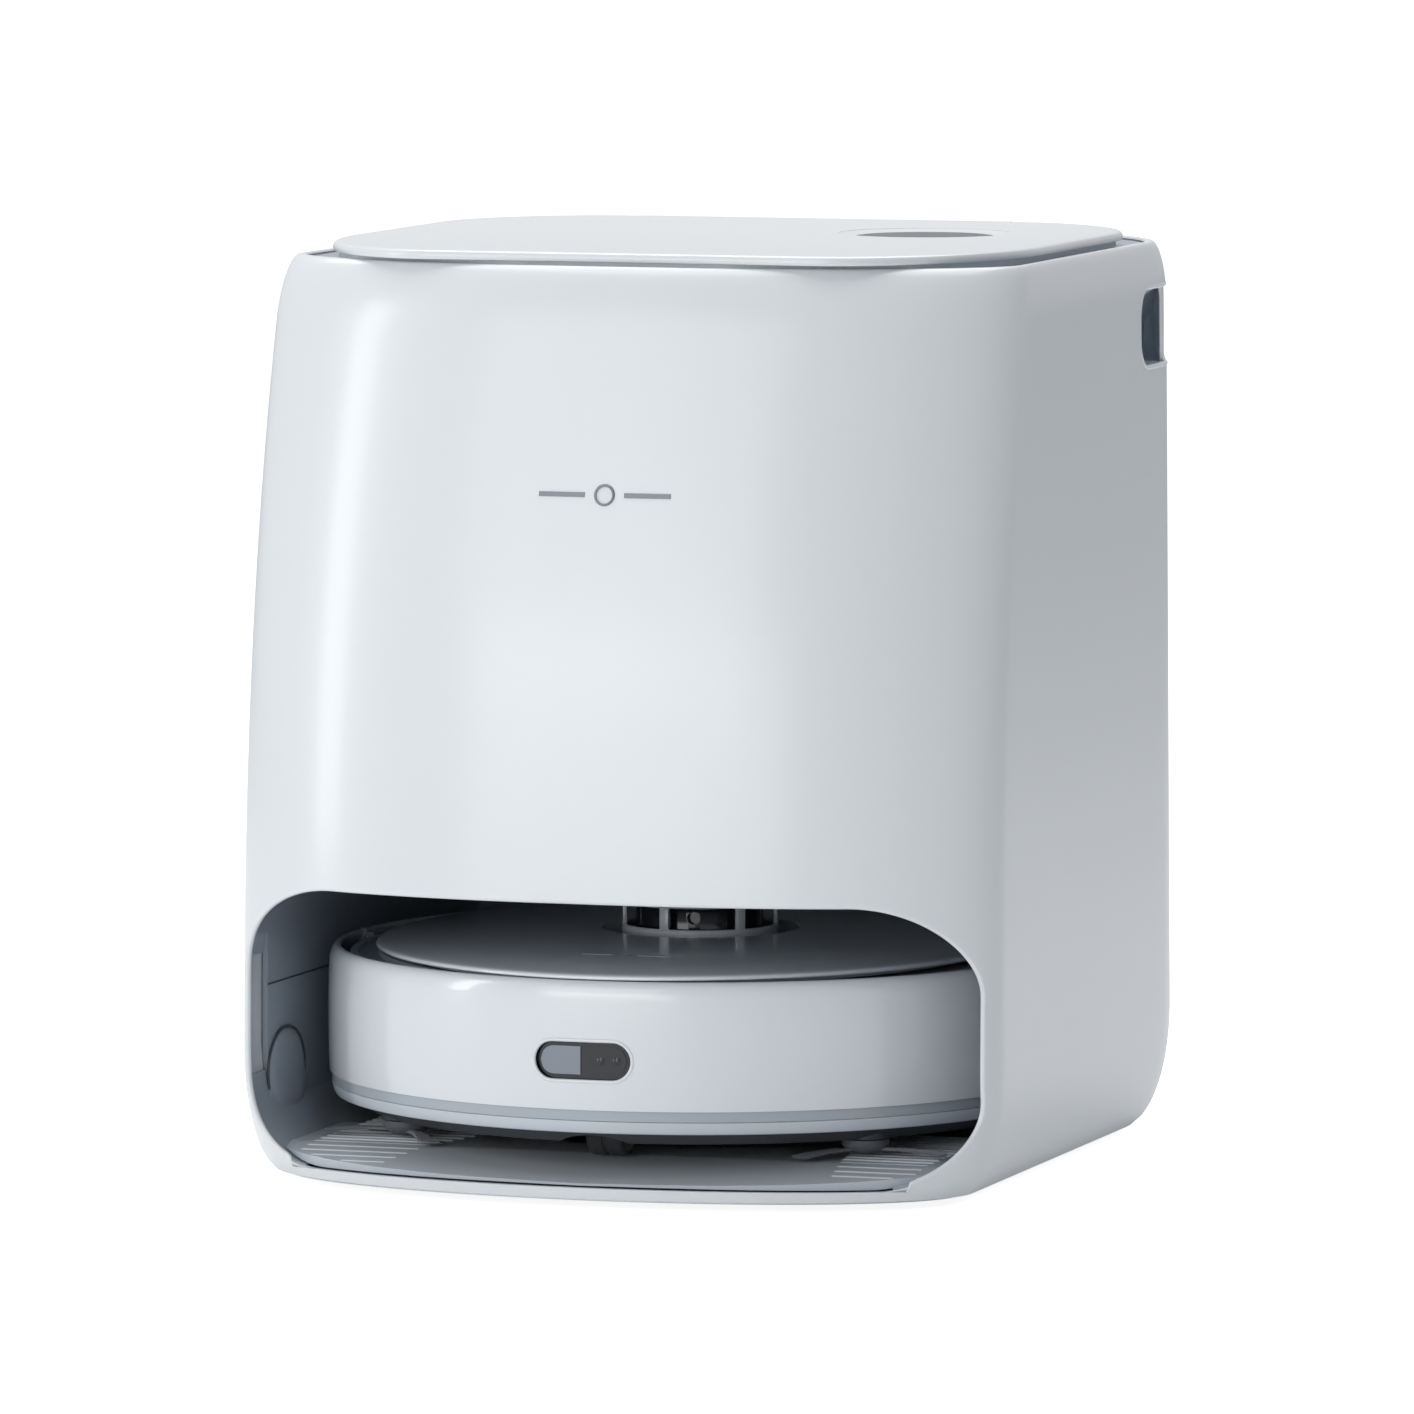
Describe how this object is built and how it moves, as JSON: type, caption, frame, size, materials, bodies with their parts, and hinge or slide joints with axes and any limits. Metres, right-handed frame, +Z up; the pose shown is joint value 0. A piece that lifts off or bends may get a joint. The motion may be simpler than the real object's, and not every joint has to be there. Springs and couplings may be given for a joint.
{
  "type": "robot vacuum",
  "caption": "Round robot vacuum and mop parked in its tall washing station, with a lift-up lid, slide-out tray and spinning mops.",
  "frame": {"origin": "middle of the station's footprint on the floor", "axes": "+Z up, the station's open front and the robot's camera face -Y, +X to the right seen from the front"},
  "size_m": [0.3692, 0.4146, 0.434],
  "materials": {
    "shell": "smooth pale grey, satin gloss",
    "service_panel": "fine grained",
    "screw_steel": "plated",
    "dark_base": "textured",
    "feet_rubber": "matt",
    "bay_grey": "satin",
    "band_grey": "satin",
    "contact_metal": "polished",
    "clean_tank_plastic": "translucent",
    "dirty_tank_plastic": "smoked",
    "tank_fittings": "satin",
    "pump_body": "satin",
    "motor_can": "plated",
    "circuit_board": "lacquered",
    "hinge_plastic": "satin",
    "display_mesh": "dot mesh under clear plastic",
    "tray_grey": "satin",
    "board_grey": "satin",
    "chassis_black": "fine grained",
    "robot_white": "satin gloss",
    "dust_box_smoke": "smoked",
    "fan_white": "satin",
    "sensor_black": "polished",
    "tyre_rubber": "matt",
    "hub_grey": "satin",
    "brush_rubber": "satin",
    "mop_fabric": "looped microfibre"
  },
  "bodies": {
    "station": {"outer_shell": "shell", "rear_cover": "service_panel", "shell_screws": "screw_steel", "base_plate": "dark_base", "rubber_feet": "feet_rubber", "bay_liner": "bay_grey", "dock_contacts": "contact_metal", "tank_deck": "bay_grey", "top_trim": "band_grey", "handle_cups": "dark_base", "clean_tank": "clean_tank_plastic", "dirty_tank": "dirty_tank_plastic", "tank_caps_and_handles": "tank_fittings", "water_pump": "pump_body", "vacuum_pump": "motor_can", "dryer_housing": "dark_base", "control_board": "circuit_board", "power_supply": "pump_body", "power_inlet": "pump_body", "hinge_brackets": "hinge_plastic", "hinge_pins": "screw_steel"},
    "lid": {"lid_panel": "shell", "lid_liner": "service_panel", "display_lens": "display_mesh", "display_board": "circuit_board"},
    "wash_tray": {"wash_tray": "tray_grey", "washboards": "board_grey"},
    "dryer_fan": {"dryer_impeller": "fan_white"},
    "robot": {"robot_chassis": "chassis_black", "brush_guard": "chassis_black", "upper_housing": "robot_white", "battery": "pump_body", "robot_board": "circuit_board", "dust_box": "dust_box_smoke", "suction_housing": "dark_base", "lidar_cage": "robot_white", "charge_contacts": "contact_metal"},
    "power_button": {"power_button": "robot_white"},
    "suction_fan": {"suction_impeller": "fan_white"},
    "laser_head": {"lidar_head": "sensor_black"},
    "mop_carriage": {"mop_drives": "chassis_black"},
    "left_mop": {"left_mop_pad": "mop_fabric", "left_mop_plate": "hub_grey"},
    "right_mop": {"right_mop_pad": "mop_fabric", "right_mop_plate": "hub_grey"},
    "bumper": {"bumper_shell": "robot_white", "camera_bezel": "sensor_black", "camera_window": "sensor_black"},
    "cover": {"top_cover": "robot_white"},
    "caster": {"caster_fork": "chassis_black"},
    "caster_wheel": {"caster_wheel": "tyre_rubber"},
    "left_arm": {"left_wheel_arm": "chassis_black"},
    "left_wheel": {"left_tyre": "tyre_rubber", "left_hub": "hub_grey"},
    "right_arm": {"right_wheel_arm": "chassis_black"},
    "right_wheel": {"right_tyre": "tyre_rubber", "right_hub": "hub_grey"},
    "main_brush": {"main_brush": "brush_rubber"},
    "left_side_brush": {"left_side_brush": "brush_rubber"},
    "right_side_brush": {"right_side_brush": "brush_rubber"}
  },
  "joints": [
    {"name": "lid_hinge", "type": "hinge", "parent": "station", "child": "lid", "pos_m": [0, 0.176, 0.429], "axis": [-1, 0, 0], "range_deg": [0, 85]},
    {"name": "tray_slide", "type": "slide", "parent": "station", "child": "wash_tray", "axis": [0, -1, 0], "range_m": [0, 0.36]},
    {"name": "dryer_fan_spin", "type": "hinge", "parent": "station", "child": "dryer_fan", "pos_m": [-0.084, 0.128, 0.17], "axis": [0, 0, 1], "continuous": true},
    {"name": "robot_drive_out", "type": "slide", "parent": "station", "child": "robot", "axis": [0, -1, 0], "range_m": [0, 0.43]},
    {"name": "button_press", "type": "slide", "parent": "robot", "child": "power_button", "axis": [0, 0, -1], "range_m": [0, 0.0012], "stiffness_N_per_m": 600, "springref_m": -0.0005},
    {"name": "suction_fan_spin", "type": "hinge", "parent": "robot", "child": "suction_fan", "pos_m": [0, 0.0175, 0.05], "axis": [0, 0, 1], "continuous": true},
    {"name": "laser_spin", "type": "hinge", "parent": "robot", "child": "laser_head", "pos_m": [0, -0.0205, 0.11], "axis": [0, 0, 1], "continuous": true},
    {"name": "mops_lift", "type": "slide", "parent": "robot", "child": "mop_carriage", "axis": [0, 0, 1], "range_m": [0, 0.01]},
    {"name": "left_mop_spin", "type": "hinge", "parent": "mop_carriage", "child": "left_mop", "pos_m": [-0.064, 0.0615, 0.021], "axis": [0, 0, 1], "continuous": true},
    {"name": "right_mop_spin", "type": "hinge", "parent": "mop_carriage", "child": "right_mop", "pos_m": [0.064, 0.0615, 0.021], "axis": [0, 0, 1], "continuous": true},
    {"name": "bumper_press", "type": "slide", "parent": "robot", "child": "bumper", "axis": [0, 1, 0], "range_m": [0, 0.003], "stiffness_N_per_m": 900, "springref_m": -0.001},
    {"name": "cover_lift", "type": "slide", "parent": "robot", "child": "cover", "axis": [0, 0, 1], "range_m": [0, 0.028]},
    {"name": "caster_swivel", "type": "hinge", "parent": "robot", "child": "caster", "pos_m": [0, -0.1605, 0.045], "axis": [0, 0, 1], "continuous": true},
    {"name": "caster_roll", "type": "hinge", "parent": "caster", "child": "caster_wheel", "pos_m": [0, -0.1525, 0.0313], "axis": [1, 0, 0], "continuous": true},
    {"name": "left_wheel_travel", "type": "hinge", "parent": "robot", "child": "left_arm", "pos_m": [-0.0955, 0.0095, 0.0533], "axis": [-1, 0, 0], "range_deg": [0, 6], "stiffness_Nm_per_rad": 1.5, "springref_deg": -14.32},
    {"name": "left_wheel_roll", "type": "hinge", "parent": "left_arm", "child": "left_wheel", "pos_m": [-0.112, -0.0305, 0.0533], "axis": [1, 0, 0], "continuous": true},
    {"name": "right_wheel_travel", "type": "hinge", "parent": "robot", "child": "right_arm", "pos_m": [0.0955, 0.0095, 0.0533], "axis": [-1, 0, 0], "range_deg": [0, 6], "stiffness_Nm_per_rad": 1.5, "springref_deg": -14.32},
    {"name": "right_wheel_roll", "type": "hinge", "parent": "right_arm", "child": "right_wheel", "pos_m": [0.112, -0.0305, 0.0533], "axis": [1, 0, 0], "continuous": true},
    {"name": "main_brush_spin", "type": "hinge", "parent": "robot", "child": "main_brush", "pos_m": [0, -0.0955, 0.0376], "axis": [1, 0, 0], "continuous": true},
    {"name": "left_side_brush_spin", "type": "hinge", "parent": "robot", "child": "left_side_brush", "pos_m": [-0.112, -0.1185, 0.02], "axis": [0, 0, 1], "continuous": true},
    {"name": "right_side_brush_spin", "type": "hinge", "parent": "robot", "child": "right_side_brush", "pos_m": [0.112, -0.1185, 0.02], "axis": [0, 0, 1], "continuous": true}
  ],
  "couplings": [
    {"joint": "left_wheel_roll", "follows": "robot_drive_out", "rad_per_m": 28.571},
    {"joint": "right_wheel_roll", "follows": "robot_drive_out", "rad_per_m": 28.571}
  ]
}
